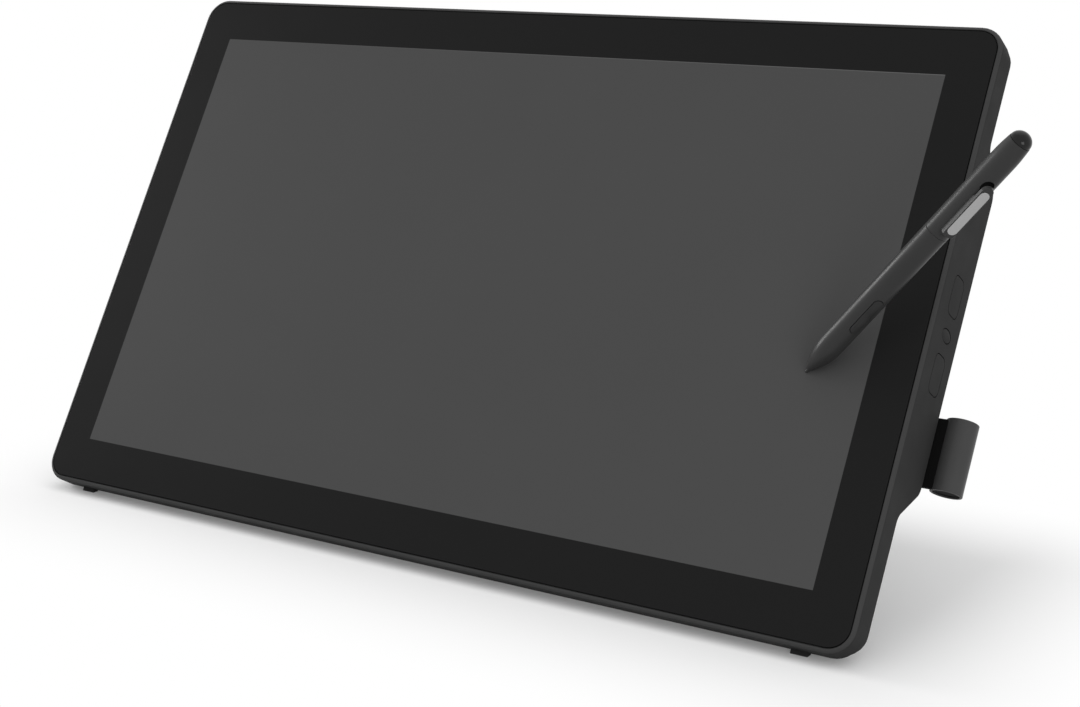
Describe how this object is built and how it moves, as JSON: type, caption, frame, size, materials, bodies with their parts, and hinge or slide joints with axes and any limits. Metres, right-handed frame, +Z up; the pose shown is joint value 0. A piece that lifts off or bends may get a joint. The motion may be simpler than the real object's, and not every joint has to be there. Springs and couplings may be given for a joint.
{
  "type": "pen display",
  "caption": "Slim flat screen with a black glass front that is drawn on with a pen, leaning on a fold-out rear stand, with side buttons, a pen and a pen holder.",
  "frame": {"origin": "on the desk, under the middle of the whole set's outline: casing, stand, pen holder and pen", "axes": "+X to the right of the person drawing, +Y away from them, +Z up; the glass faces -Y and up"},
  "size_m": [0.639, 0.2611, 0.3144],
  "materials": {
    "glass": "etched matt front over a black printed border",
    "rim": "fine grain, dark grey",
    "casing": "fine grain, dark grey",
    "keys": "satin, dark grey",
    "panel": "dark grey when off",
    "diffuser": "clear acrylic light guide",
    "led": "moulded strip",
    "foam": "closed cell",
    "board": "solder mask",
    "power": "solder mask",
    "steel": "bright zinc",
    "alloy": "die cast",
    "stand_metal": "black powder coat on a die casting",
    "bar": "satin tube",
    "bronze": "sintered",
    "black": "satin black",
    "rubber": "matt",
    "holder": "satin, dark grey",
    "pen_body": "soft satin, dark grey",
    "pen_black": "satin black",
    "copper": "enamelled winding",
    "plate": "brushed",
    "tail": "polished"
  },
  "bodies": {
    "display": {"cover_glass": "glass", "front_frame": "rim", "panel_gasket": "foam", "lcd_panel": "panel", "light_guide": "diffuser", "led_bar": "led", "sensor_board": "board", "shield_sheet": "steel", "chassis": "alloy", "rear_cover": "casing", "cover_screws": "steel", "mount_posts": "alloy", "main_board": "board", "power_board": "power", "board_screws": "steel", "io_board": "board", "video_port": "steel", "usb_port": "steel", "dc_inlet": "black", "button_board": "board", "tact_switches": "black", "front_feet": "rubber", "rear_pads": "rubber", "lock_plate": "steel", "hinge_bracket_left": "stand_metal", "hinge_bracket_right": "stand_metal", "bracket_screws": "steel", "hinge_pin_left": "steel", "hinge_pin_right": "steel", "pin_clips": "steel", "friction_washers": "bronze", "pen_holder": "holder", "holder_cap": "black", "holder_screws": "steel"},
    "stand_leg": {"leg_arm_left": "stand_metal", "leg_arm_right": "stand_metal", "leg_bar": "bar", "leg_sleeves": "rubber", "bar_plugs": "black"},
    "lever": {"release_lever": "black"},
    "upper_key": {"upper_button": "keys"},
    "power_key": {"power_button": "keys"},
    "lower_key": {"lower_button": "keys"},
    "pen": {"pen_grip": "pen_body", "pen_coil": "copper", "pen_circuit": "board", "pen_barrel": "pen_body", "pen_plate": "plate", "pen_tail": "tail"},
    "nib": {"pen_nib": "pen_black"},
    "side_switch": {"pen_switch": "pen_black"}
  },
  "joints": [
    {"name": "stand_hinge", "type": "hinge", "parent": "display", "child": "stand_leg", "pos_m": [-0.02738, -0.01576, 0.09165], "axis": [1, 0, 0], "range_deg": [-22, 90]},
    {"name": "lever_pivot", "type": "hinge", "parent": "display", "child": "lever", "pos_m": [-0.02738, -0.01576, 0.09165], "axis": [1, 0, 0], "range_deg": [0, 14], "stiffness_Nm_per_rad": 0.4, "springref_deg": -22.92},
    {"name": "upper_press", "type": "slide", "parent": "display", "child": "upper_key", "axis": [-1, 0, 0], "range_m": [0, 0.0006], "stiffness_N_per_m": 900, "springref_m": -0.0006},
    {"name": "power_press", "type": "slide", "parent": "display", "child": "power_key", "axis": [-1, 0, 0], "range_m": [0, 0.0006], "stiffness_N_per_m": 900, "springref_m": -0.0006},
    {"name": "lower_press", "type": "slide", "parent": "display", "child": "lower_key", "axis": [-1, 0, 0], "range_m": [0, 0.0006], "stiffness_N_per_m": 900, "springref_m": -0.0006},
    {"name": "pen_lift", "type": "slide", "parent": "display", "child": "pen", "axis": [0, -0.859, 0.512], "range_m": [0, 0.08]},
    {"name": "nib_press", "type": "slide", "parent": "pen", "child": "nib", "axis": [0.6471, -0.0192, 0.7622], "range_m": [0, 0.0005], "stiffness_N_per_m": 1500, "springref_m": -0.0004},
    {"name": "pen_switch_press", "type": "slide", "parent": "pen", "child": "side_switch", "axis": [-0.5081, 0.7344, 0.4499], "range_m": [0, 0.0005], "stiffness_N_per_m": 1200, "springref_m": -0.0005}
  ]
}
